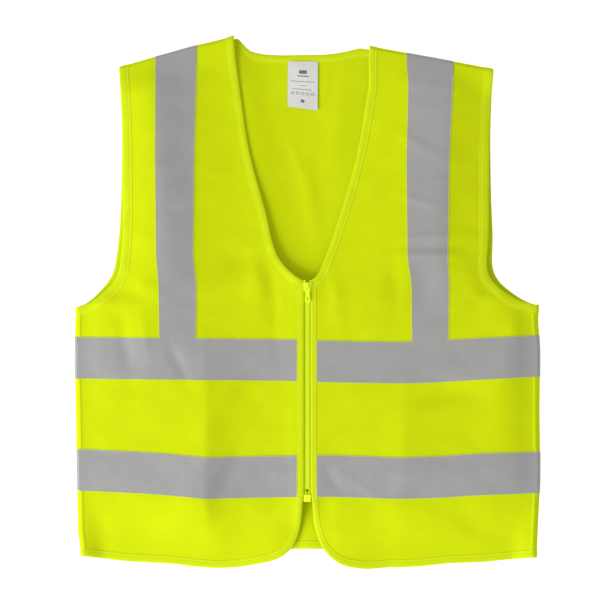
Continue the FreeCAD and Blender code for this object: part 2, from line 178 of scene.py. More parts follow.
# height of each front in mm: rows go down from the collar, columns from the neck or zip
# edge (0) out to the armhole or side (1)
billow = {
    "across": [0, 0.15, 0.3, 0.46, 0.7, 0.85, 1.0],
    "rows": [300, 243, 150, 60, 0, -65, -130, -200, -265],
    "right": [
        [7.2, 7.4, 9.2, 11.4, 16.6, 14.8, 12.2],
        [6.8, 7.2, 9.4, 12.0, 18.4, 16.0, 12.4],
        [7.8, 7.8, 9.6, 12.0, 18.4, 16.0, 12.0],
        [10.4, 9.4, 10.0, 12.2, 18.2, 15.4, 10.6],
        [13.3, 11.2, 11.0, 13.0, 18.2, 14.8, 9.7],
        [13.3, 11.6, 12.0, 15.0, 15.4, 13.0, 9.7],
        [13.3, 11.2, 11.8, 16.4, 13.4, 11.8, 9.7],
        [13.3, 11.2, 11.8, 16.4, 13.2, 11.6, 9.7],
        [12.5, 11.4, 12.2, 15.4, 13.0, 11.4, 9.7],
    ],
    "left": [
        [9.5, 10.3, 11.0, 11.8, 12.5, 10.0, 7.0],
        [9.5, 10.8, 11.8, 13.0, 14.3, 9.0, 5.0],
        [10.0, 11.2, 12.2, 13.4, 14.3, 9.0, 5.0],
        [11.5, 12.0, 12.8, 13.2, 13.6, 9.5, 6.0],
        [13.3, 13.0, 13.2, 12.6, 12.2, 13.6, 10.8],
        [13.3, 12.8, 13.2, 13.2, 14.2, 14.6, 10.8],
        [13.3, 13.3, 14.2, 14.8, 13.2, 14.2, 10.8],
        [13.3, 12.0, 13.2, 15.2, 14.2, 14.2, 10.8],
        [12.5, 12.5, 13.5, 15.0, 14.2, 12.8, 10.2],
    ],
}
# soft folds: centre, length, width, angle from +x, height
frontFolds = [
    (-150, -255, 50, 18, 60, 1.4), (-70, -268, 45, 13, 30, -1.2), (-190, 20, 40, 12, 150, 1.0),
    (-215, -45, 40, 9, 100, -1.2), (-55, 30, 34, 14, 75, 1.2), (-62, 52, 22, 9, 20, -0.9),
    (-40, 5, 60, 9, 95, -1.0), (-95, -110, 30, 12, 50, 1.2), (-95, -205, 34, 13, 65, -1.6),
    (-150, -70, 26, 7, 110, -0.9), (-140, 110, 26, 5, 8, -0.7), (-142, 140, 26, 5, 20, 0.6),
    (30, 10, 34, 13, 100, 1.3), (165, -108, 34, 12, 12, -2.2), (60, -112, 60, 12, 25, 1.1),
    (75, -205, 60, 12, 40, 1.3), (20, -200, 26, 7, -50, -1.4), (140, 18, 26, 16, 70, -1.8),
    (150, 78, 32, 4, 4, 0.9), (150, 66, 32, 4, 2, -0.9), (152, 56, 32, 4, 0, 0.8),
    (142, 186, 30, 6, -30, 0.7), (140, 120, 26, 5, -20, 0.7), (150, 232, 34, 7, 12, 0.6),
    (200, -262, 46, 13, -25, -1.6), (150, -290, 40, 10, 5, -1.2), (235, -60, 60, 12, 80, 1.0),
    (215, 8, 30, 10, 40, -1.2), (90, -262, 50, 14, 20, 1.2), (105, 20, 40, 13, 95, -1.0),
    (190, -200, 40, 12, 20, 1.0),
]
frontCreases = [
    (-119, -150, 110, 16, 90, 2.0), (-118, -250, 40, 12, 96, 1.1), (112, -180, 90, 14, 88, 1.2),
    (-190, -36, 26, 6, 100, 0.8), (60, -214, 40, 5, -35, 0.8), (-100, -190, 40, 5, 60, 0.7),
]
# fine ripples of the knit: size, wavelength, direction, start
ripples = [
    (0.09, 53, 20, 0.3), (0.10, 41, 75, 1.9), (0.10, 33, 130, 4.1), (0.04, 26, 50, 2.7),
    (0.05, 19, 100, 5.2), (0.04, 15, 160, 0.9),
]


def rippleHeight(x, y):
    z = np.zeros(np.shape(x))
    x, y = (x + 11 * np.sin(y / 31 + 1.1) + 6 * np.sin(x / 17 + 2.0),
            y + 12 * np.sin(x / 37 + 0.4) + 5 * np.sin(y / 13 + 0.8))
    for size, wave, angle, start in ripples:
        a = math.radians(angle)
        z = z + size * np.sin((x * math.cos(a) + y * math.sin(a)) * 2 * math.pi / wave + start)
    return z


def softGrid(rows):
    # the table spread over an even grid and blurred, so that the cloth has no corners
    table = np.array(rows)
    across = np.linspace(0, 1, 121)
    down = np.linspace(-330, 330, 221)
    wide = np.array([np.interp(across, billow["across"], row) for row in table])
    full = np.array([np.interp(down, billow["rows"][::-1], wide[::-1, i])
                     for i in range(len(across))])
    for axis, blur in ((0, 4.5), (1, 6.0)):
        k = np.arange(-15, 16)
        weight = np.exp(-0.5 * (k / blur) ** 2)
        weight /= weight.sum()
        padded = np.pad(full, [(15, 15) if i == axis else (0, 0) for i in (0, 1)], mode="edge")
        full = sum(w * np.take(padded, np.arange(full.shape[axis]) + i, axis=axis)
                   for i, w in enumerate(weight))
    return full


billowGrids = {"right": softGrid(billow["right"]), "left": softGrid(billow["left"])}


def readGrid(grid, u, y):
    fu = np.clip(u, 0, 1) * (grid.shape[0] - 1)
    fy = np.clip((y + 330) / 660, 0, 1) * (grid.shape[1] - 1)
    i = np.minimum(fu.astype(int), grid.shape[0] - 2)
    j = np.minimum(fy.astype(int), grid.shape[1] - 2)
    a, b = fu - i, fy - j
    return (grid[i, j] * (1 - a) * (1 - b) + grid[i + 1, j] * a * (1 - b)
            + grid[i, j + 1] * (1 - a) * b + grid[i + 1, j + 1] * a * b)


backFolds = [
    (-62, 230, 60, 14, 100, 1.2), (40, 205, 80, 12, 85, 1.0), (8, 120, 50, 10, 100, 1.3),
    (70, 270, 40, 10, 40, 0.9), (-20, 262, 50, 12, 10, 0.6), (25, 255, 30, 7, 80, 0.7),
    (-10, 175, 26, 5, 110, 0.5), (-66, 178, 170, 34, 104, 3.4), (52, 120, 90, 16, 70, 1.0),
    (4, -262, 42, 26, 90, 4.6),
]


def backHeight(x, y):
    rise = 0.35 * np.abs(rippleHeight(x, y))
    for fold in backFolds:
        rise = rise + ridge(x, y, *fold)
    a = np.abs(x)
    loose = smoothstep(shoulderY(a) - y, 0, 30) * smoothstep(sideX(y) - a, 0, 40)
    return lay["floorGap"] + rise * loose


def edgeInX(y):
    return np.interp(y, [26.5, 36, 65.5, 111, 178, 243, 304.5], [4.1, 15.6, 30.5, 45.5, 64, 75, 83])


def edgeOutX(y):
    arm = np.interp(y, [-1, 13.5, 32, 56, 90, 150, 220, 273.5],
                    [267.5, 240, 225.5, 218, 214.8, 214.6, 216, 219.5])
    return np.where(y < -1, sideX(y), arm)


def frontHeight(x, y):
    a = np.abs(x)
    high = 2 * lay["shoulderRadius"] + lay["floorGap"]
    side = 2 * lay["sideRadius"] + lay["floorGap"]
    u = (a - edgeInX(y)) / (edgeOutX(y) - edgeInX(y))
    z = np.where(x > 0, readGrid(billowGrids["left"], u, y), readGrid(billowGrids["right"], u, y))
    loose = smoothstep(a, 14, 40) * smoothstep(u, -0.01, 0.05)
    extra = rippleHeight(x, y)
    for fold in frontFolds:
        extra = extra + 1.3 * ridge(x, y, *fold)
    for fold in frontCreases:
        extra = extra + crease(x, y, *fold)
    z = z + extra * loose
    # down to the hem, level beside the zip, and to meet the rolled side and shoulder
    hemY = np.interp(a, [p[0] for p in cut["frontHem"]], [p[1] for p in cut["frontHem"]])
    over = 62 + 18 * smoothstep(a, 34, 80)
    foot = lay["hemHeight"] + 4.5 * (1 - smoothstep(a, 20, 100))
    z = foot + (z - foot) * smoothstep(y - hemY, -6, over)
    level = (1 - smoothstep(a, 10, 24)) * (1 - smoothstep(y, 24, 50)) * smoothstep(y, -275, -232)
    z = lay["zipHeight"] * level + z * (1 - level)
    z = side + (z - side) * np.where(y < 0, smoothstep(sideX(y) - a, -1, 26), 1)
    return high + (z - high) * smoothstep(shoulderY(a) - y, 0, 34)


def frontPlace(x, y):
    a = np.abs(x)
    past = np.maximum(y - shoulderY(a), 0)
    r = lay["shoulderRadius"]
    turn = past / r
    high = 2 * r + lay["floorGap"]
    yy = np.where(past > 0, shoulderY(a) + r * np.sin(turn), y)
    zz = np.where(past > 0, high - r * (1 - np.cos(turn)), frontHeight(x, y))
    xs, ys = settle(x, yy)
    return np.stack([xs, ys, zz], -1)


def backPlace(x, y):
    a = np.abs(x)
    past = np.maximum(a - sideX(y), 0)
    r = lay["sideRadius"]
    turn = past / r
    edge = sideX(y)
    xx = np.where(past > 0, np.sign(x) * (edge + r * np.sin(turn)), x)
    zz = np.where(past > 0, lay["floorGap"] + r * (1 - np.cos(turn)), backHeight(x, y))
    xs, ys = settle(xx, y, "backHem")
    return np.stack([xs, ys, zz], -1)


def liftedPlace(place, x, y, lift, outward=1.0):
    # a point raised off a surface along its own normal
    e = 0.2
    p = place(x, y)
    across = place(x + e, y) - place(x - e, y)
    up = place(x, y + e) - place(x, y - e)
    n = np.cross(across, up)
    n /= np.maximum(np.linalg.norm(n, axis=-1, keepdims=True), 1e-9)
    return p + n * np.asarray(lift)[..., None] * outward


# materials
def newMaterial(name, **settings):
    material = bpy.data.materials.new(name)
    material.use_nodes = True
    tree = material.node_tree
    shader = tree.nodes["Principled BSDF"]
    for socket, value in settings.items():
        if isinstance(value, tuple):
            value = (*value, 1)
        shader.inputs[socket.replace("_", " ")].default_value = value
    return material, tree, shader


def addNode(tree, kind, **values):
    node = tree.nodes.new(kind)
    for name, value in values.items():
        if name in node.inputs:
            node.inputs[name].default_value = value
        else:
            setattr(node, name, value)
    return node


def mathNode(tree, operation, a, b=None):
    node = tree.nodes.new("ShaderNodeMath")
    node.operation = operation
    for i, value in enumerate((a, b)):
        if value is None:
            continue
        if isinstance(value, (int, float)):
            node.inputs[i].default_value = value
        else:
            tree.links.new(value, node.inputs[i])
    return node.outputs[0]


def patternSpace(tree, scale):
    # the pattern's own x and y, from the piece's UV map, times a scale
    uv = addNode(tree, "ShaderNodeUVMap", uv_map="pattern")
    place = tree.nodes.new("ShaderNodeMapping")
    place.inputs["Scale"].default_value = scale
    tree.links.new(uv.outputs["UV"], place.inputs["Vector"])
    return place.outputs["Vector"]


def colourBetween(tree, shader, share, low, high):
    mix = tree.nodes.new("ShaderNodeMix")
    mix.data_type = "RGBA"
    mix.inputs[6].default_value = (*low, 1)
    mix.inputs[7].default_value = (*high, 1)
    tree.links.new(share, mix.inputs[0])
    tree.links.new(mix.outputs[2], shader.inputs["Base Color"])


def bumpFrom(tree, shader, height, strength, distance):
    bump = tree.nodes.new("ShaderNodeBump")
    bump.inputs["Strength"].default_value = strength
    bump.inputs["Distance"].default_value = distance
    tree.links.new(height, bump.inputs["Height"])
    tree.links.new(bump.outputs["Normal"], shader.inputs["Normal"])


def wovenHeight(tree, wale, course, lean=0.0):
    # two crossed sets of threads, each a rounded ridge
    space = patternSpace(tree, (1 / wale, 1 / course, 1))
    split = tree.nodes.new("ShaderNodeSeparateXYZ")
    tree.links.new(space, split.inputs[0])
    x = split.outputs[0]
    if lean:
        x = mathNode(tree, "ADD", x, mathNode(tree, "MULTIPLY", split.outputs[1], lean))
    ridgeX = mathNode(tree, "SINE", mathNode(tree, "MULTIPLY", x, 2 * math.pi))
    ridgeY = mathNode(tree, "SINE", mathNode(tree, "MULTIPLY", split.outputs[1], 2 * math.pi))
    both = mathNode(tree, "MULTIPLY", ridgeX, ridgeY)
    sum_ = mathNode(tree, "ADD", mathNode(tree, "MULTIPLY", ridgeX, 0.5), both)
    return mathNode(tree, "ADD", mathNode(tree, "MULTIPLY", sum_, 0.33), 0.5)


def noiseOf(tree, scale, detail=3.0, stretch=(1, 1, 1)):
    noise = addNode(tree, "ShaderNodeTexNoise", Scale=scale, Detail=detail, Roughness=0.6)
    tree.links.new(patternSpace(tree, stretch), noise.inputs["Vector"])
    return noise.outputs["Fac"]


def mixShare(tree, a, b, shareOfB):
    return mathNode(tree, "ADD", mathNode(tree, "MULTIPLY", a, 1 - shareOfB),
                    mathNode(tree, "MULTIPLY", b, shareOfB))


def grainOf(tree, scale, detail):
    # noise fixed to the piece itself, for what has no UV map
    place = tree.nodes.new("ShaderNodeTexCoord")
    noise = addNode(tree, "ShaderNodeTexNoise", Scale=scale, Detail=detail)
    tree.links.new(place.outputs["Object"], noise.inputs["Vector"])
    return noise.outputs["Fac"]


def roughFrom(tree, shader, share, least, spreadOf):
    rough = mathNode(tree, "ADD", mathNode(tree, "MULTIPLY", share, spreadOf), least)
    tree.links.new(rough, shader.inputs["Roughness"])


def hiVisKnit():
    # the knit is fluorescent; here that is a painted glow, a constant yellow-green emission (glow,
    # glowStrength) that shines the same in shade and in light
    knit = {"wale": 0.0011, "course": 0.0009, "dark": (0.44, 0.54, 0.001),
            "light": (0.60, 0.70, 0.004), "glow": (0.64, 0.80, 0.0), "glowStrength": 0.07}
    material, tree, shader = newMaterial(
        "hiVisKnit", Roughness=0.82, Sheen_Weight=0.05, Sheen_Roughness=0.45,
        Sheen_Tint=(0.9, 1.0, 0.35), Specular_IOR_Level=0.05, Emission_Color=knit["glow"],
        Emission_Strength=knit["glowStrength"])
    weave = wovenHeight(tree, knit["wale"], knit["course"])
    cloud = noiseOf(tree, 26.0, 4.0)
    fuzz = noiseOf(tree, 900.0, 2.0)
    share = mixShare(tree, mixShare(tree, cloud, weave, 0.35), fuzz, 0.25)
    colourBetween(tree, shader, share, knit["dark"], knit["light"])
    bumpFrom(tree, shader, mixShare(tree, weave, fuzz, 0.3), 0.35, 0.00022)
    return material


def bindingWeave():
    weaveOf = {"pitch": 0.0007, "dark": (0.46, 0.565, 0.002), "light": (0.60, 0.71, 0.006)}
    # painted glow: a constant yellow-green emission brightens the binding, lit or not
    material, tree, shader = newMaterial(
        "bindingWeave", Roughness=0.7, Sheen_Weight=0.05, Specular_IOR_Level=0.07,
        Emission_Color=(0.62, 0.80, 0.0), Emission_Strength=0.07)
    weave = wovenHeight(tree, weaveOf["pitch"], weaveOf["pitch"] * 1.4, 0.5)
    cloud = noiseOf(tree, 60.0, 4.0)
    colourBetween(tree, shader, mixShare(tree, cloud, weave, 0.45), weaveOf["dark"],
                  weaveOf["light"])
    bumpFrom(tree, shader, weave, 0.4, 0.00018)
    return material


def reflectiveCloth():
    tape = {"bead": 2600.0, "dark": (0.182, 0.180, 0.176), "light": (0.298, 0.296, 0.290)}
    # painted glow: a constant grey emission lifts the tape's brightness in shade and light alike
    material, tree, shader = newMaterial(
        "reflectiveCloth", Roughness=0.5, Metallic=0.1, Specular_IOR_Level=0.16,
        Emission_Color=(0.36, 0.358, 0.35), Emission_Strength=0.27)
    beads = noiseOf(tree, tape["bead"], 1.0)
    grain = noiseOf(tree, 160.0, 5.0, (1, 2.4, 1))
    cloud = noiseOf(tree, 22.0, 3.0, (1, 1.8, 1))
    share = mixShare(tree, mixShare(tree, cloud, grain, 0.4), beads, 0.25)
    colourBetween(tree, shader, share, tape["dark"], tape["light"])
    roughFrom(tree, shader, grain, 0.48, 0.2)
    bumpFrom(tree, shader, mixShare(tree, grain, beads, 0.35), 0.3, 0.00025)
    return material


def zipTapeWeave():
    # painted glow: a constant yellow-green emission brightens the zip tape, lit or not
    material, tree, shader = newMaterial(
        "zipTapeWeave", Roughness=0.75, Sheen_Weight=0.08, Specular_IOR_Level=0.12,
        Emission_Color=(0.6, 0.78, 0.0), Emission_Strength=0.14)
    weave = wovenHeight(tree, 0.0012, 0.0008, 1.0)
    cloud = noiseOf(tree, 80.0, 3.0)
    colourBetween(tree, shader, mixShare(tree, cloud, weave, 0.6), (0.34, 0.44, 0.001),
                  (0.48, 0.60, 0.004))
    bumpFrom(tree, shader, weave, 0.5, 0.0002)
    return material


def mouldedPlastic():
    # painted glow: a constant yellow-green emission brightens the teeth, stops and slider, lit or
    # not
    material, tree, shader = newMaterial(
        "mouldedPlastic", Roughness=0.33, Specular_IOR_Level=0.3,
        Emission_Color=(0.6, 0.78, 0.0), Emission_Strength=0.16)
    grain = grainOf(tree, 420.0, 3.0)
    colourBetween(tree, shader, grain, (0.62, 0.76, 0.005), (0.78, 0.93, 0.03))
    roughFrom(tree, shader, grain, 0.24, 0.22)
    bumpFrom(tree, shader, grain, 0.15, 0.0001)
    return material


def threadFibre():
    # painted glow: a constant yellow-green emission makes the stitches shine, lit or not
    material, tree, shader = newMaterial(
        "threadFibre", Roughness=0.5, Sheen_Weight=0.2, Emission_Color=(0.74, 0.9, 0.0),
        Emission_Strength=0.14)
    colourBetween(tree, shader, grainOf(tree, 1500.0, 2.0), (0.66, 0.79, 0.004),
                  (0.80, 0.92, 0.02))
    return material


def labelSatin():
    material, tree, shader = newMaterial("labelSatin", Roughness=0.42, Sheen_Weight=0.3,
                                         Specular_IOR_Level=0.5)
    weave = wovenHeight(tree, 0.0005, 0.0004, 0.3)
    cloud = noiseOf(tree, 60.0, 2.0)
    colourBetween(tree, shader, mixShare(tree, cloud, weave, 0.3), (0.56, 0.56, 0.52),
                  (0.76, 0.76, 0.73))
    bumpFrom(tree, shader, weave, 0.2, 0.0001)
    return material


def labelInk():
    material, tree, shader = newMaterial("labelInk", Roughness=0.55)
    colourBetween(tree, shader, grainOf(tree, 2500.0, 2.0), (0.07, 0.07, 0.075),
                  (0.22, 0.22, 0.22))
    return material


knitCloth, bindingCloth, tapeCloth = hiVisKnit(), bindingWeave(), reflectiveCloth()
zipCloth, plastic, thread = zipTapeWeave(), mouldedPlastic(), threadFibre()
labelCloth, ink = labelSatin(), labelInk()
print("vest: materials made")


# making meshes
def meshPiece(name, points, faces, material, uv):
    mesh = bpy.data.meshes.new(name)
    mesh.from_pydata((np.asarray(points) * mm).tolist(), [], [list(map(int, f)) for f in faces])
    layer = mesh.uv_layers.new(name="pattern")
    corner = np.zeros(len(mesh.loops), np.int32)
    mesh.loops.foreach_get("vertex_index", corner)
    layer.data.foreach_set("uv", (np.asarray(uv)[corner] * mm).astype(np.float32).ravel())
    mesh.materials.append(material)
    mesh.polygons.foreach_set("use_smooth", [True] * len(mesh.polygons))
    mesh.update()
    piece = bpy.data.objects.new(name, mesh)
    bpy.context.scene.collection.objects.link(piece)
    return piece


def insideOf(points, outline):
    x, y = points[:, 0][:, None], points[:, 1][:, None]
    x1, y1 = outline[:, 0][None], outline[:, 1][None]
    x2, y2 = np.roll(outline[:, 0], -1)[None], np.roll(outline[:, 1], -1)[None]
    crosses = (y1 > y) != (y2 > y)
    with np.errstate(divide="ignore", invalid="ignore"):
        at = (x2 - x1) * (y - y1) / (y2 - y1) + x1
    return (np.sum(crosses & (x < at), axis=1) % 2) == 1


def clearOf(points, outline, gap):
    near = np.full(len(points), 1e9)
    for corner in outline:
        near = np.minimum(near, np.linalg.norm(points - corner, axis=1))
    return near > gap


def spread(low, high, step):
    return np.arange(low, high + step * 0.5, step)


def panel(name, outline, place, inRoll, fine, spacing=4.5):
    # a cut of cloth, filled with an even net of points, with a finer band where it rolls
    rows = []
    ys = spread(outline[:, 1].min(), outline[:, 1].max(), spacing * 0.87)
    for i, y in enumerate(ys):
        xs = spread(outline[:, 0].min(), outline[:, 0].max(), spacing) + (i % 2) * spacing / 2
        rows.append(np.stack([xs, np.full(len(xs), y)], 1))
    net = np.concatenate(rows)
    net = np.concatenate([net[~inRoll(net)], fine])
    net = net[insideOf(net, outline)]
    net = net[clearOf(net, outline, 1.0)]
    flat = np.concatenate([outline, net])
    loop = [list(range(len(outline)))]
    verts, _, faces, _, _, _ = delaunay_2d_cdt([Vector(p) for p in flat], [], loop, 1, 1e-4)
    flat = np.array([tuple(v) for v in verts])
    faces = [f for f in faces if len(f) == 3]
    half = lay["clothThickness"] / 2
    over = liftedPlace(place, flat[:, 0], flat[:, 1], half)
    under = liftedPlace(place, flat[:, 0], flat[:, 1], -half)
    return closedSheet(name, flat, faces, over, under)


def closedSheet(name, flat, faces, over, under):
    tri = np.array(faces)
    a, b, c = (flat[tri[:, i]] for i in range(3))
    area = (b[:, 0] - a[:, 0]) * (c[:, 1] - a[:, 1]) - (c[:, 0] - a[:, 0]) * (b[:, 1] - a[:, 1])
    tri[area < 0] = tri[area < 0][:, ::-1]
    n = len(flat)
    edges = {}
    for f in tri.tolist():
        for i in range(3):
            edges[(f[i], f[(i + 1) % 3])] = True
    rim = [e for e in edges if (e[1], e[0]) not in edges]
    below = (tri[:, ::-1] + n).tolist()
    walls = [[j, i, i + n, j + n] for i, j in rim]
    piece = meshPiece(name, np.concatenate([over, under]), tri.tolist() + below + walls,
                      knitCloth, np.concatenate([flat, flat]))
    piece.data.set_sharp_from_angle(angle=math.radians(60))
    return piece


def ribbon(name, rows, material, uv, closedAlong=False):
    # rows of points, one cross-section each, joined into a tube and capped
    rows = np.asarray(rows)
    count, around = rows.shape[:2]
    faces = []
    last = count if closedAlong else count - 1
    for i in range(last):
        for j in range(around):
            a, b = i * around + j, i * around + (j + 1) % around
            c, d = ((i + 1) % count) * around + (j + 1) % around, ((i + 1) % count) * around + j
            faces.append([a, b, c, d])
    if not closedAlong:
        faces.append(list(range(around))[::-1])
        faces.append([(count - 1) * around + j for j in range(around)])
    return meshPiece(name, rows.reshape(-1, 3), faces, material, np.asarray(uv).reshape(-1, 2))


def rightWayOut(piece):
    work = bmesh.new()
    work.from_mesh(piece.data)
    bmesh.ops.remove_doubles(work, verts=work.verts, dist=1e-7)
    bmesh.ops.recalc_face_normals(work, faces=work.faces)
    work.to_mesh(piece.data)
    work.free()
    piece.data.set_sharp_from_angle(angle=math.radians(48))
    return piece


# outlines
def mirrored(points, side):
    points = np.array(points, float)
    return points if side > 0 else points * np.array([-1.0, 1.0])


def chained(*runs):
    out = [np.asarray(runs[0])]
    for run in runs[1:]:
        out.append(np.asarray(run)[1:])
    return np.concatenate(out)


neckPath = smoothPath(cut["neck"])
zipEdgePath = chained(*[straightPath(a, b) for a, b in zip(cut["zipEdge"], cut["zipEdge"][1:])])
frontArmPath, backArmPath = smoothPath(cut["frontArm"]), smoothPath(cut["backArm"])
frontHemPath, backHemPath = smoothPath(cut["frontHem"]), smoothPath(cut["backHem"])
backNeckPath = smoothPath(cut["backNeck"] + [(-x, y) for x, y in cut["backNeck"][-2::-1]])
shoulderRun = math.pi * lay["shoulderRadius"]
sideRun = math.pi * lay["sideRadius"]
hemSeam = (sideHem[0] + sideRun, sideHem[1])


def frontOutline(side):
    neckOver = (neckPoint[0], neckPoint[1] + shoulderRun)
    tipOver = (shoulderTip[0], shoulderTip[1] + shoulderRun)
    loop = chained(straightPath(neckOver, neckPoint, 1.5), neckPath[:-1], zipEdgePath,
                   frontHemPath, straightPath(sideHem, underarm), frontArmPath[::-1],
                   straightPath(shoulderTip, tipOver, 1.5), straightPath(tipOver, neckOver))[:-1]
    loop = mirrored(loop, side)
    return loop if side > 0 else loop[::-1]


def backOutline():
    # each side is cut wider by what rolls forward to the side seam
    armSeam = (underarm[0] + sideRun, underarm[1])
    half = chained(straightPath(neckPoint, shoulderTip), backArmPath,
                   straightPath(underarm, armSeam, 1.2), straightPath(armSeam, hemSeam),
                   straightPath(hemSeam, sideHem, 1.2), backHemPath[::-1])
    return chained(half, mirrored(half[::-1], -1), backNeckPath[::-1])[:-1]


def frontPanel(side, name):
    xs = spread(85, 218, 4.0)
    strips = [np.stack([xs, shoulderY(xs) + t], 1) for t in np.linspace(-3, shoulderRun - 1.1, 14)]
    fine = mirrored(np.concatenate(strips), side)

    def inRoll(p):
        return p[:, 1] > shoulderY(np.abs(p[:, 0])) - 4.5
    return panel(name, frontOutline(side), frontPlace, inRoll, fine)


def backPanel(name):
    ys = spread(-291, -4, 4.0)
    strips = [np.stack([sideX(ys) + s, ys], 1) for s in np.linspace(-3, sideRun - 1.1, 14)]
    one = np.concatenate(strips)
    fine = np.concatenate([one, mirrored(one, -1)])

    def inRoll(p):
        return (np.abs(p[:, 0]) > sideX(p[:, 1]) - 4.5) & (p[:, 1] < 4)
    return panel(name, backOutline(), backPlace, inRoll, fine)


pieces = {}
pieces["backPanel"] = backPanel("back_cloth")
pieces["leftFront"] = frontPanel(1, "left_front_cloth")
pieces["rightFront"] = frontPanel(-1, "right_front_cloth")
print("vest: panels", {k: len(v.data.polygons) for k, v in pieces.items()})


# reflective tape
tapeOf = {
    "width": 49.5, "thickness": 0.35, "inner": {1: 10.6, -1: 12.3},
    "shoulderMiddle": 149.0, "shoulderTopWidth": 50.5, "shoulderLowWidth": 43.5,
    # top edge of each band across the vest: place across, height
    "chest": ([-268, -160, -55, -13, 13, 50, 112, 150, 205, 268],
              [-40.0, -41.2, -42.4, -42.8, -44.0, -44.8, -45.8, -44.6, -41.2, -37.8]),
    "waist": ([-268, -233, -186, -139, -118, -56, -12, 21, 60, 109, 156, 204, 268],
              [-172.3, -173.6, -176.0, -179.6, -181.8, -180.6, -179.6, -179.4, -180.2, -181.8,
               -180.4, -177.2, -175.4]),
}


def bandTop(band, x):
    return easedTable(x, *tapeOf[band], 9.0)


def tapeStrip(name, place, lines, outward=1.0):
    # lines: rows of pattern points across the tape. Both faces are raised off the cloth.
    lines = np.asarray(lines)
    low = lay["clothThickness"] / 2 + 0.05
    high = low + tapeOf["thickness"]
    over = liftedPlace(place, lines[..., 0], lines[..., 1], high, outward)
    under = liftedPlace(place, lines[..., 0], lines[..., 1], low, outward)
    rows = np.concatenate([over, under[:, ::-1]], axis=1)
    uv = np.concatenate([lines, lines[:, ::-1]], axis=1)
    return rightWayOut(ribbon(name, rows, tapeCloth, uv))


def bandLines(band, xs):
    down = np.linspace(0, tapeOf["width"], 17)
    tops = bandTop(band, np.clip(xs, -268, 268))
    return np.stack([np.repeat(xs[:, None], 17, 1), tops[:, None] - down[None]], -1)


def frontBand(name, band, side):
    edge = sideX(tapeOf[band][1][0] - 25)
    xs = np.concatenate([spread(tapeOf["inner"][side], 255, 3.0), np.linspace(257, edge + 1, 5)])
    return tapeStrip(name, frontPlace, bandLines(band, xs * side))


def backBand(name, band):
    edge = sideX(tapeOf[band][1][0] - 25)
    half = np.concatenate([spread(0, edge - 5, 4.0), edge + np.linspace(-3, sideRun - 0.4, 16)])
    xs = np.concatenate([-half[:0:-1], half])
    return tapeStrip(name, backPlace, bandLines(band, xs), -1.0)


def shoulderWidth(y):
    low, high = tapeOf["shoulderLowWidth"], tapeOf["shoulderTopWidth"]
    return low + np.clip((y + 41) / 320, 0, 1) * (high - low)


def shoulderTape(name, side):
    mid = tapeOf["shoulderMiddle"]
    across = np.linspace(-0.5, 0.5, 15)
    lines = []
    for y in spread(-47, 268, 3.0):
        x = mid + across * shoulderWidth(y)
        lines.append((x, np.minimum(y, shoulderY(x) - 0.5)))
    for t in np.linspace(0, shoulderRun, 14):
        x = mid + across * shoulderWidth(280)
        lines.append((x, shoulderY(x) + t))
    front = np.stack([np.stack(p, -1) for p in lines])
    # the low end is tucked under the chest band
    chestTop = bandTop("chest", mid * side)
    tuck = smoothstep(front[..., 1], chestTop - 4, chestTop)
    over = liftedPlace(frontPlace, front[..., 0] * side, front[..., 1], 0.31 + 0.37 * tuck)
    under = liftedPlace(frontPlace, front[..., 0] * side, front[..., 1], 0.29 + 0.03 * tuck)
    back = []
    for share in spread(0, 1, 0.02)[1:]:
        x = mid + across * shoulderWidth(280 - 320 * share)
        back.append(np.stack([x, shoulderY(x) * (1 - share) - 44 * share], -1))
    back = np.stack(back)
    overBack = liftedPlace(backPlace, back[..., 0] * side, back[..., 1], -0.68)
    underBack = liftedPlace(backPlace, back[..., 0] * side, back[..., 1], -0.32)
    rows = np.concatenate([np.concatenate([over, overBack]),
                           np.concatenate([under, underBack])[:, ::-1]], axis=1)
    backRun = 280 + shoulderRun + np.linspace(0, 320, len(back))[:, None] + np.zeros(15)
    run = np.concatenate([front[..., 1], backRun])
    flat = np.stack([np.concatenate([front[..., 0], back[..., 0]]), run], -1)
    return rightWayOut(ribbon(name, rows, tapeCloth, np.concatenate([flat, flat[:, ::-1]], 1)))


for sideName, side in (("left", 1), ("right", -1)):
    pieces[sideName + "Chest"] = frontBand(sideName + "_chest_tape", "chest", side)
    pieces[sideName + "Waist"] = frontBand(sideName + "_waist_tape", "waist", side)
    pieces[sideName + "Shoulder"] = shoulderTape(sideName + "_shoulder_reflective", side)
pieces["backChest"] = backBand("back_chest_tape", "chest")
pieces["backWaist"] = backBand("back_waist_tape", "waist")
print("vest: reflective tape made")


# bindings
bindingOf = {
    "neck": 9.0, "arm": 11.0, "edge": {1: 6.4, -1: 8.0}, "hem": 9.0, "thickness": 0.36,
    "puff": 0.16, "stitchIn": 1.8,      # the stitches' distance from the binding's inner edge
}


def bindingProfile(width):
    # distance in from the edge and height off the cloth, round from the inner top edge
    t = lay["clothThickness"] / 2
    h = t + bindingOf["thickness"]
    puff = h + bindingOf["puff"]
    top = [(width, t), (width - 0.15, h), (width - 1.3, h + 0.03), (width - 1.8, h - 0.12),
           (width - 2.4, h + 0.1), (width * 0.5, puff * 0.95), (width * 0.25, puff),
           (0.3, h * 0.95), (-0.25, h * 0.45)]
    return top + [(d, -z) for d, z in reversed(top)]


def inwardOf(points, side):
    along = np.gradient(np.asarray(points), axis=0)
    along /= np.maximum(np.linalg.norm(along, axis=1, keepdims=True), 1e-9)
    return np.stack([-along[:, 1], along[:, 0]], 1) * side


def towards(inward, end, steps, fromEnd=False):
    # the inward direction eased into another one near an end of its path
    at = np.arange(len(inward))
    share = smoothstep(at[::-1] if fromEnd else at, 0, steps)[:, None]
    return inward * share + end * (1 - share)


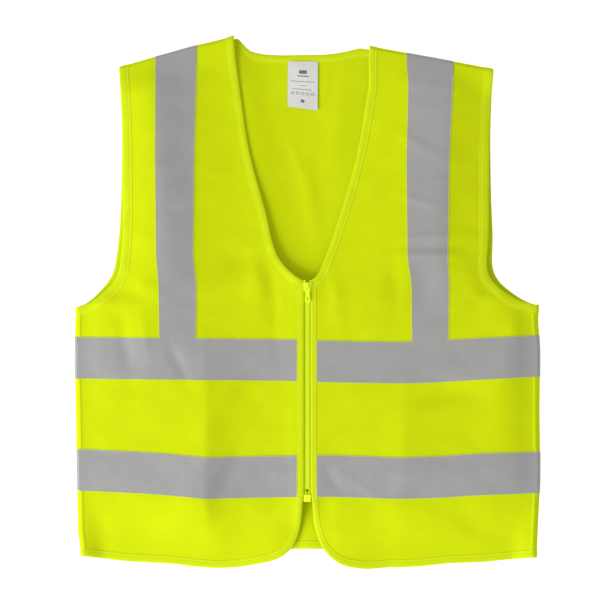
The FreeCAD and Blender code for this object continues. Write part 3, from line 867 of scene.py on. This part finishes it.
def bindingRows(path, inward, widths, place, side=1, outward=1.0):
    path = mirrored(path, side)
    inward = mirrored(np.broadcast_to(inward, path.shape), side)
    profiles = np.array([bindingProfile(w) for w in np.broadcast_to(widths, len(path))])
    x = path[:, None, 0] + inward[:, None, 0] * profiles[..., 0]
    y = path[:, None, 1] + inward[:, None, 1] * profiles[..., 0]
    rows = liftedPlace(place, x, y, profiles[..., 1] * outward)
    length = np.concatenate([[0], np.cumsum(np.linalg.norm(np.diff(path, axis=0), axis=1))])
    ring = np.cumsum(np.linalg.norm(np.diff(profiles[0], axis=0, prepend=profiles[0][:1]),
                                    axis=1))
    uv = np.stack(np.meshgrid(length, ring, indexing="ij")[::-1], -1)
    return rows, uv


def joinRuns(name, runs, closed=False):
    rows = np.concatenate([r for r, _ in runs])
    uvs, start = [], 0.0
    for _, uv in runs:
        uv = uv.copy()
        uv[..., 1] += start
        start = uv[..., 1].max()
        uvs.append(uv)
    return rightWayOut(ribbon(name, rows, bindingCloth, np.concatenate(uvs), closedAlong=closed))


# in from the neck point along the shoulder line, and straight down the cloth
alongShoulder, downCloth = np.array([0.975, -0.2215]), np.array([0.0, -1.0])


def neckBinding(name, side):
    # over the shoulder roll at the neck point, then down the V to the zip
    roll = straightPath((neckPoint[0], neckPoint[1] + shoulderRun),
                        (neckPoint[0], neckPoint[1] + 1), 1.2)
    rollIn = np.broadcast_to(alongShoulder, roll.shape)
    neckIn = towards(inwardOf(neckPath, 1), alongShoulder, 12)
    return joinRuns(name, [bindingRows(np.concatenate([roll, neckPath]),
                                       np.concatenate([rollIn, neckIn]),
                                       bindingOf["neck"], frontPlace, side)])


def edgeWidths(count, side):
    narrow = bindingOf["edge"][side]
    start = len(zipEdgePath)
    return narrow + (bindingOf["hem"] - narrow) * smoothstep(np.arange(count), start, start + 35)


def edgeBinding(name, side):
    # down the zip edge, round the corner and along the hem to the side seam
    path = chained(zipEdgePath, frontHemPath)
    return joinRuns(name, [bindingRows(path, inwardOf(path, 1), edgeWidths(len(path), side),
                                       frontPlace, side)])


def armBinding(name, side):
    # down the front, round the underarm roll, up the back and over the shoulder roll
    w = bindingOf["arm"]
    frontIn = towards(inwardOf(frontArmPath, -1), -alongShoulder, 12)
    frontIn = towards(frontIn, downCloth, 8, fromEnd=True)
    x, y = underarm
    wrap = straightPath((x + sideRun - 1.2, y), (x + 1, y), 1.2)
    backUp = backArmPath[::-1]
    backIn = towards(inwardOf(backUp, 1), downCloth, 8)
    backIn = towards(backIn, -alongShoulder, 12, fromEnd=True)
    x, y = shoulderTip
    roll = straightPath((x, y + shoulderRun - 1.2), (x, y + 1), 1.2)
    runs = [bindingRows(frontArmPath, frontIn, w, frontPlace, side),
            bindingRows(wrap, downCloth, w, backPlace, side, -1.0),
            bindingRows(backUp, backIn, w, backPlace, side, -1.0),
            bindingRows(roll, -alongShoulder, w, frontPlace, side)]
    return joinRuns(name, runs, closed=True)


def backNeckBinding(name):
    path = backNeckPath[::-1]
    return joinRuns(name, [bindingRows(path, inwardOf(path, -1), bindingOf["neck"], backPlace,
                                       outward=-1.0)])


def backHemBinding(name):
    half = chained(straightPath(hemSeam, sideHem, 1.2), backHemPath[::-1])
    path = chained(half, mirrored(half[::-1], -1))
    return joinRuns(name, [bindingRows(path, -downCloth, bindingOf["hem"], backPlace,
                                       outward=-1.0)])


for sideName, side in (("left", 1), ("right", -1)):
    pieces[sideName + "Neck"] = neckBinding(sideName + "_neck_edging", side)
    pieces[sideName + "Edge"] = edgeBinding(sideName + "_front_edging", side)
    pieces[sideName + "Arm"] = armBinding(sideName + "_armhole_edging", side)
pieces["backNeck"] = backNeckBinding("back_neck_edging")
pieces["backHem"] = backHemBinding("back_hem_edging")
print("vest: bindings made")


# side seams
seamOf = {"width": 2.6, "height": 0.4, "inset": 1.5}


def seamRidge(name, side):
    # the felled seam where the back's wrap meets the front, broken by the tapes
    profile = [(-1, 0.0), (-0.8, 0.7), (-0.2, 1.0), (0.5, 0.85), (1, 0.1), (0.8, -0.2),
               (-0.8, -0.2)]
    across = np.array([p[0] for p in profile]) * seamOf["width"] / 2
    lift = np.array([p[1] for p in profile]) * seamOf["height"] + 0.3
    edge = sideHem[0] * side
    chest, waist = bandTop("chest", edge), bandTop("waist", edge)
    runs = []
    for low, high in ((chest, -3), (waist, chest - tapeOf["width"]),
                      (-293, waist - tapeOf["width"])):
        ys = np.linspace(low + 0.3, high - 0.3, int((high - low) / 3) + 2)
        x = (sideX(ys)[:, None] - seamOf["inset"] + across[None]) * side
        y = np.repeat(ys[:, None], len(profile), 1)
        rows = liftedPlace(frontPlace, x, y, lift)
        runs.append(rightWayOut(ribbon(name, rows, knitCloth, np.stack([x, y], -1))))
    return joined(runs)


def joined(made):
    with bpy.context.temp_override(active_object=made[0], selected_editable_objects=made):
        bpy.ops.object.join()
    return made[0]


for sideName, side in (("left", 1), ("right", -1)):
    pieces[sideName + "Seam"] = seamRidge(sideName + "_side_seam", side)


# stitches, one geometry nodes tree for every run
stitchOf = {"spacing": 2.8, "length": 2.3, "thickness": 0.5, "tapeInset": 0.35}


def stitchTree():
    tree = bpy.data.node_groups.new("stitchRun", "GeometryNodeTree")
    face = tree.interface
    face.new_socket(name="Geometry", in_out="INPUT", socket_type="NodeSocketGeometry")
    for label in ("Spacing", "Stitch Length", "Thread Thickness"):
        face.new_socket(name=label, in_out="INPUT", socket_type="NodeSocketFloat")
    face.new_socket(name="Material", in_out="INPUT", socket_type="NodeSocketMaterial")
    face.new_socket(name="Geometry", in_out="OUTPUT", socket_type="NodeSocketGeometry")
    new, link = tree.nodes.new, tree.links.new
    start, end = new("NodeGroupInput"), new("NodeGroupOutput")
    toCurve, even = new("GeometryNodeMeshToCurve"), new("GeometryNodeResampleCurve")
    even.mode = "LENGTH"
    ball = new("GeometryNodeMeshUVSphere")
    ball.inputs["Segments"].default_value = 6
    ball.inputs["Rings"].default_value = 4
    ball.inputs["Radius"].default_value = 0.5
    size = new("ShaderNodeCombineXYZ")
    link(start.outputs["Thread Thickness"], size.inputs[0])
    link(start.outputs["Thread Thickness"], size.inputs[1])
    link(start.outputs["Stitch Length"], size.inputs[2])
    tangent, turn = new("GeometryNodeInputTangent"), new("FunctionNodeAlignRotationToVector")
    turn.axis = "Z"
    link(tangent.outputs[0], turn.inputs["Vector"])
    put, real = new("GeometryNodeInstanceOnPoints"), new("GeometryNodeRealizeInstances")
    paint, soft = new("GeometryNodeSetMaterial"), new("GeometryNodeSetShadeSmooth")
    link(start.outputs["Geometry"], toCurve.inputs["Mesh"])
    link(toCurve.outputs["Curve"], even.inputs["Curve"])
    link(start.outputs["Spacing"], even.inputs["Length"])
    link(even.outputs["Curve"], put.inputs["Points"])
    link(ball.outputs["Mesh"], put.inputs["Instance"])
    link(turn.outputs["Rotation"], put.inputs["Rotation"])
    link(size.outputs["Vector"], put.inputs["Scale"])
    link(put.outputs["Instances"], real.inputs["Geometry"])
    link(real.outputs["Geometry"], soft.inputs["Geometry"])
    link(soft.outputs["Geometry"], paint.inputs["Geometry"])
    link(start.outputs["Material"], paint.inputs["Material"])
    link(paint.outputs["Geometry"], end.inputs["Geometry"])
    return tree


stitching = stitchTree()


def sewn(name, paths):
    verts, edges = [], []
    for path in paths:
        first = len(verts)
        verts += [tuple(p) for p in np.asarray(path) * mm]
        edges += [(first + i, first + i + 1) for i in range(len(path) - 1)]
    mesh = bpy.data.meshes.new(name + "Line")
    mesh.from_pydata(verts, edges, [])
    line = bpy.data.objects.new(name, mesh)
    bpy.context.scene.collection.objects.link(line)
    modifier = line.modifiers.new("stitchRun", "NODES")
    modifier.node_group = stitching
    values = {"Spacing": stitchOf["spacing"] * mm, "Stitch Length": stitchOf["length"] * mm,
              "Thread Thickness": stitchOf["thickness"] * mm, "Material": thread}
    for item in stitching.interface.items_tree:
        if item.in_out == "INPUT" and item.name in values:
            modifier[item.identifier] = values[item.name]
    bpy.context.view_layer.update()
    solid = bpy.data.meshes.new_from_object(line.evaluated_get(
        bpy.context.evaluated_depsgraph_get()))
    line.modifiers.remove(modifier)
    line.data = solid
    return line


def seamPath(path, inward, width, place, lift, side=1):
    # inside a binding's edge, at the distance in that suits its width
    distance = width - bindingOf["stitchIn"]
    x = (path[:, 0] + inward[..., 0] * distance) * side
    y = path[:, 1] + inward[..., 1] * distance
    return liftedPlace(place, x, y, lift)


onCloth = lay["clothThickness"] / 2
onBinding = onCloth + bindingOf["thickness"]
onTape = onCloth + tapeOf["thickness"] + 0.1


def frontStitches(name, side):
    run = chained(zipEdgePath, frontHemPath)
    paths = [seamPath(neckPath, inwardOf(neckPath, 1), bindingOf["neck"], frontPlace, onBinding,
                      side),
             seamPath(run, inwardOf(run, 1), edgeWidths(len(run), side), frontPlace, onBinding,
                      side)]
    inset = stitchOf["tapeInset"]
    first = tapeOf["inner"][side] + inset
    for band in ("chest", "waist"):
        xs = spread(first, 264, 3.0) * side
        rows = [(xs, tapeOf["width"] - inset), (xs, inset)]
        if band == "chest":
            # the shoulder tape runs under the band, with no stitches over it
            reach = np.abs(xs) - tapeOf["shoulderMiddle"]
            rows[1:] = [(xs[reach < -20.5], inset), (xs[reach > 20.5], inset)]
        for across, below in rows:
            paths.append(liftedPlace(frontPlace, across, bandTop(band, across) - below, onTape))
        top = bandTop(band, first * side)
        ys = spread(top - tapeOf["width"] + inset, top - inset, 3.0)
        paths.append(liftedPlace(frontPlace, np.full(len(ys), first * side), ys, onTape))
    return sewn(name, paths)


def backStitches(name):
    paths = []
    inset = stitchOf["tapeInset"]
    for side in (1, -1):
        for path, place, lift in ((frontArmPath, frontPlace, onBinding),
                                  (backArmPath, backPlace, -onBinding),
                                  (backArmPath, backPlace, onBinding)):
            paths.append(seamPath(path, inwardOf(path, -1), bindingOf["arm"], place, lift, side))
        for edge in (-1, 1):
            ys = spread(-41, 276, 3.0)
            xs = (tapeOf["shoulderMiddle"] + edge * (shoulderWidth(ys) / 2 - inset)) * side
            paths.append(liftedPlace(frontPlace, xs, ys, onTape + 0.05))
            paths.append(liftedPlace(backPlace, xs, ys, -onTape))
        ys = spread(-292, -6, 3.0)
        paths.append(liftedPlace(frontPlace, (sideX(ys) - 3.2) * side, ys, onCloth + 0.15))
    neck, hem = backNeckPath[::-1], chained(backHemPath[::-1], mirrored(backHemPath, -1))
    for lift in (-onBinding, onBinding):
        paths.append(seamPath(neck, inwardOf(neck, -1), bindingOf["neck"], backPlace, lift))
        paths.append(seamPath(hem, -downCloth, bindingOf["hem"], backPlace, lift))
    xs = spread(-266 - sideRun + 4, 266 + sideRun - 4, 3.0)
    for band in ("chest", "waist"):
        for below in (inset, tapeOf["width"] - inset):
            ys = bandTop(band, np.clip(xs, -268, 268)) - below
            paths.append(liftedPlace(backPlace, xs, ys, -onTape))
    return sewn(name, paths)


pieces["leftStitches"] = frontStitches("left_front_stitches", 1)
pieces["rightStitches"] = frontStitches("right_front_stitches", -1)
pieces["backStitches"] = backStitches("back_stitches")
print("vest: stitches", {k: len(v.data.polygons) for k, v in pieces.items() if "titch" in k})


# zip
zipOf = {"top": 27.0, "foot": -234.0, "z": 12.4}


def zipTape(name, side):
    # a woven tape with a thicker corded edge that the teeth grip
    ys = spread(zipOf["foot"], zipOf["top"], 2.5)
    profile = [(1.4, 0.0), (1.6, 0.42), (2.3, 0.5), (2.9, 0.3), (3.3, 0.2), (9.0, 0.2),
               (15.0, 0.2), (15.0, -0.2), (9.0, -0.2), (3.3, -0.2), (2.9, -0.3), (2.3, -0.5),
               (1.6, -0.42)]
    across = np.array([p[0] for p in profile])[None] + np.zeros((len(ys), 1))
    room = 15 - 8.5 * smoothstep(-ys, 218, 233) - 8.5 * smoothstep(ys, 14, 26)
    x = np.minimum(across, room[:, None]) * side
    z = zipOf["z"] + np.array([p[1] for p in profile])[None] + np.zeros((len(ys), 1))
    y = np.repeat(ys[:, None], len(profile), 1)
    rows = np.stack([x, y, z], -1)
    return rightWayOut(ribbon(name, rows, zipCloth, np.stack([x + z, y], -1)))


for sideName, side in (("left", 1), ("right", -1)):
    pieces[sideName + "ZipTape"] = zipTape(sideName + "_zip_tape", side)
for node in ("left_zipper_teeth", "right_zipper_teeth", "left_top_stop", "right_top_stop",
             "slider", "pull_tab", "retainer_box", "box_pin", "insertion_pin"):
    nodes[node].data.materials.clear()
    nodes[node].data.materials.append(plastic)


# care label
labelOf = {"left": -23.0, "right": 12.5, "top": 286.2, "foot": 232.6}


def labelPlace(u, v):
    # u across 0 to 1, v down 0 to 1: sewn at the top, a little askew and curled at the foot
    x = labelOf["left"] + (labelOf["right"] - labelOf["left"]) * u - 0.6 * v
    y = labelOf["top"] + (labelOf["foot"] - labelOf["top"]) * v - 5.0 * u * v
    rest = backHeight(x, y) + 1.0
    z = rest + 0.5 * np.sin(math.pi * u) + 1.1 * v ** 3 + 0.7 * smoothstep(v, 0.0, 0.12)
    return np.stack([x, y, z], -1)


def labelPatch(name, material, corners, counts, high, low):
    # part of the label, from one height above its middle to another
    u, v = np.meshgrid(np.linspace(corners[0], corners[2], counts[0]),
                       np.linspace(corners[1], corners[3], counts[1]), indexing="ij")
    over, under = labelPlace(u, v), labelPlace(u, v)
    over[..., 2] += high
    under[..., 2] += low
    rows = np.concatenate([over, under[:, ::-1]], axis=1)
    return rightWayOut(ribbon(name, rows, material, rows[..., :2]))


def labelPrint(name):
    # plain bars and blocks, with a row of five empty squares
    marks = [(0.37, 0.19, 0.63, 0.265), (0.31, 0.305, 0.69, 0.325),
             (0.10, 0.425, 0.90, 0.435), (0.38, 0.51, 0.62, 0.518), (0.14, 0.59, 0.80, 0.60)]
    for k in range(5):
        u, v = 0.11 + k * 0.17, 0.655
        marks += [(u, v, u + 0.10, v + 0.008), (u, v + 0.045, u + 0.10, v + 0.053),
                  (u, v, u + 0.014, v + 0.053), (u + 0.086, v, u + 0.10, v + 0.053)]
    marks += [(0.44, 0.81, 0.56, 0.875)]
    return joined([labelPatch(name, ink, mark, (5, 3), 0.17, 0.05) for mark in marks])


pieces["label"] = labelPatch("care_label_cloth", labelCloth, (0, 0, 1, 1), (15, 21), 0.1, -0.1)
pieces["labelPrint"] = labelPrint("care_label_print")
print("vest: zip and label made")


# what rides on what
def blendAcross(piece):
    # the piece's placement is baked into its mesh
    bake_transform(piece)


for sideName, side in (("left", 1), ("right", -1)):
    body = sideName + "_front"
    for key in ("Front", "Chest", "Waist", "Neck", "Edge", "Stitches"):
        blendAcross(pieces[sideName + key])
    for key in ("Shoulder", "Arm", "Seam"):
        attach(pieces[sideName + key], "back")
    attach(pieces[sideName + "ZipTape"], body)
    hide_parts(sideName + "_front_flap", sideName + "_front_side")
    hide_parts(sideName + "_chest_band_flap",
                sideName + "_chest_band_side")
    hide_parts(sideName + "_waist_band_flap",
                sideName + "_waist_band_side")
    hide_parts(sideName + "_neck_binding")
    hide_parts(sideName + "_front_edge_binding",
                sideName + "_side_hem_binding")
    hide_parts(sideName + "_armhole_binding")
    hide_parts(sideName + "_shoulder_tape")
    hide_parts(sideName + "_zipper_tape")

for key in ("backPanel", "backNeck", "backHem", "backChest", "backWaist", "backStitches"):
    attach(pieces[key], "back")
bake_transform(pieces["label"])
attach(pieces["labelPrint"], "label")
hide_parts("back_panel")
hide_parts("back_neck_binding")
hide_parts("back_hem_binding")
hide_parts("back_chest_band")
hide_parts("back_waist_band")
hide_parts("care_label")


# floor, light and camera
studio = {
    "floorColour": (0.93, 0.93, 0.93), "cameraHeight": 2.4, "pictureWidth": 0.708,
    "centre": (-0.0088, 0.0035), "keyPower": 300.0, "ambient": 0.56, "floorGlow": 0.62,
}


def studioFloor():
    s = 4.0
    mesh = bpy.data.meshes.new("studioFloor")
    mesh.from_pydata([(-s, -s, 0), (s, -s, 0), (s, s, 0), (-s, s, 0)], [], [(0, 1, 2, 3)])
    floor = bpy.data.objects.new("studio_floor", mesh)
    bpy.context.scene.collection.objects.link(floor)
    material, tree, shader = newMaterial(
        "floorPaper", Roughness=0.9, Specular_IOR_Level=0.1, Emission_Color=(1.0, 1.0, 1.0),
        Emission_Strength=studio["floorGlow"])
    base = studio["floorColour"]
    colourBetween(tree, shader, grainOf(tree, 12.0, 2.0), tuple(c - 0.01 for c in base), base)
    mesh.materials.append(material)


def areaLight(name, place, target, size, power, colour=(1, 1, 1)):
    light = bpy.data.lights.new(name, "AREA")
    light.size, light.energy, light.color = size, power, colour
    lamp = bpy.data.objects.new(name, light)
    lamp.location = place
    lamp.rotation_euler = (Vector(target) - Vector(place)).to_track_quat("-Z", "Y").to_euler()
    bpy.context.scene.collection.objects.link(lamp)


def camera():
    data = bpy.data.cameras.new("overhead")
    data.sensor_width = 36.0
    data.lens = 36.0 * (studio["cameraHeight"] - 0.012) / studio["pictureWidth"]
    data.clip_end = 20
    view = bpy.data.objects.new("overhead", data)
    view.location = (*studio["centre"], studio["cameraHeight"])
    bpy.context.scene.collection.objects.link(view)
    bpy.context.scene.camera = view


studioFloor()
areaLight("softbox", (-3.3, -2.15, 1.77), (0, 0, 0), 3.4, studio["keyPower"])
world = bpy.data.worlds.new("studio")
world.use_nodes = True
world.node_tree.nodes["Background"].inputs["Color"].default_value = (1, 1, 1, 1)
world.node_tree.nodes["Background"].inputs["Strength"].default_value = studio["ambient"]
bpy.context.scene.world = world
bpy.context.scene.view_settings.view_transform = "Standard"
camera()
print("vest: studio ready")
